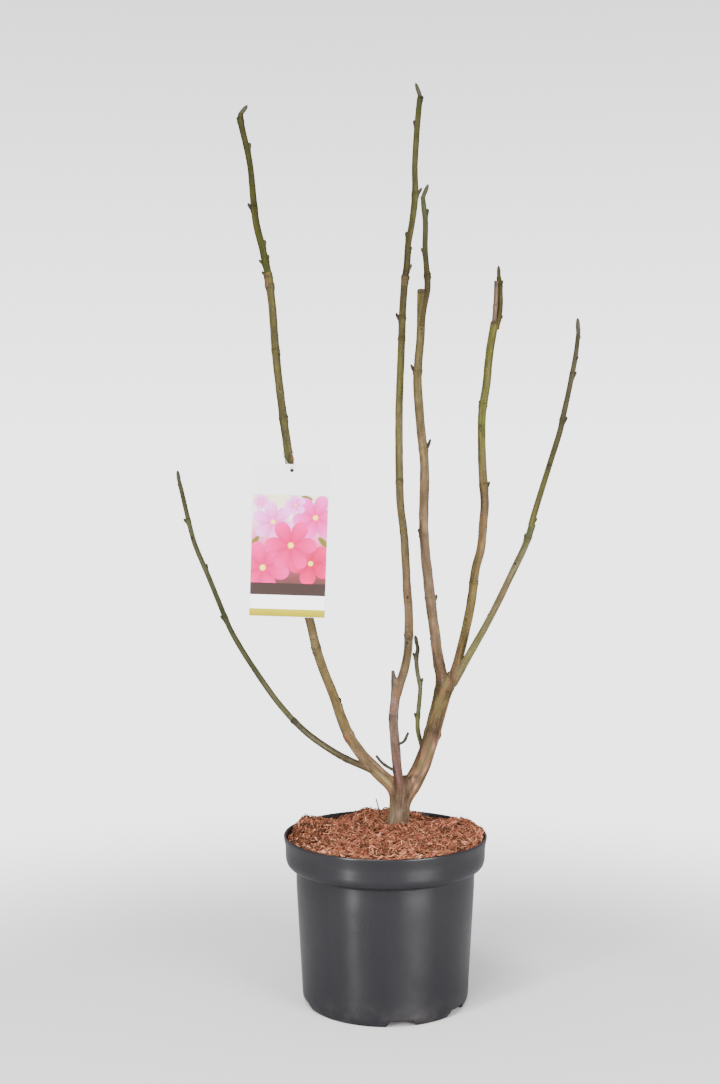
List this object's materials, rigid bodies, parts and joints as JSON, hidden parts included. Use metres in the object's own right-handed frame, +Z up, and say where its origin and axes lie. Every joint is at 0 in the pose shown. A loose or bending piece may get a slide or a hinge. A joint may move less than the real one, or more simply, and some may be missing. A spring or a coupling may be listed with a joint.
{
  "type": "potted magnolia tree",
  "caption": "Young leafless magnolia tree with slender leaning stems in a round black nursery pot topped with shredded bark, a hang tag tied to one branch.",
  "frame": {"origin": "centre of the pot's flat underside, on the floor", "axes": "+Z up along the pot's axis, +X to the right as the tag faces the viewer, +Y away from the viewer"},
  "size_m": [0.481, 0.2778, 1.0917],
  "materials": {
    "pot_plastic": "satin moulded polypropylene, charcoal black",
    "soil": "moist peat and bark substrate",
    "shredded_bark": "dry reddish shredded bark",
    "trunk_bark": "smooth tan bark with lengthwise streaks",
    "olive_bark": "smooth olive brown bark",
    "pinkish_bark": "smooth pinkish brown bark",
    "green_bough_bark": "smooth green bark",
    "green_shoot_bark": "smooth green bark of last season's shoots with dark buds",
    "dead_wood": "dry dead twig",
    "tag_card": "printed coated card",
    "tie_nylon": "clear nylon loop"
  },
  "bodies": {
    "root": {"pot": "pot_plastic", "root_ball": "soil", "bark_mulch": "shredded_bark", "trunk": "trunk_bark", "right_bough": "trunk_bark", "left_bough": "olive_bark", "centre_stem": "pinkish_bark", "left_leader": "olive_bark", "left_tip_shoot": "green_shoot_bark", "left_low_bough": "green_bough_bark", "left_low_shoot": "green_shoot_bark", "centre_leader": "olive_bark", "centre_tip_shoot": "green_shoot_bark", "inner_leader": "olive_bark", "inner_tip_shoot": "green_shoot_bark", "right_leader": "olive_bark", "right_dead_stub": "dead_wood", "right_tip_shoot": "green_shoot_bark", "right_side_bough": "olive_bark", "right_side_shoot": "green_shoot_bark", "green_twig": "green_shoot_bark", "left_spur": "dead_wood", "right_spur": "dead_wood", "plant_tag": "tag_card", "tag_tie": "tie_nylon"}
  },
  "joints": []
}
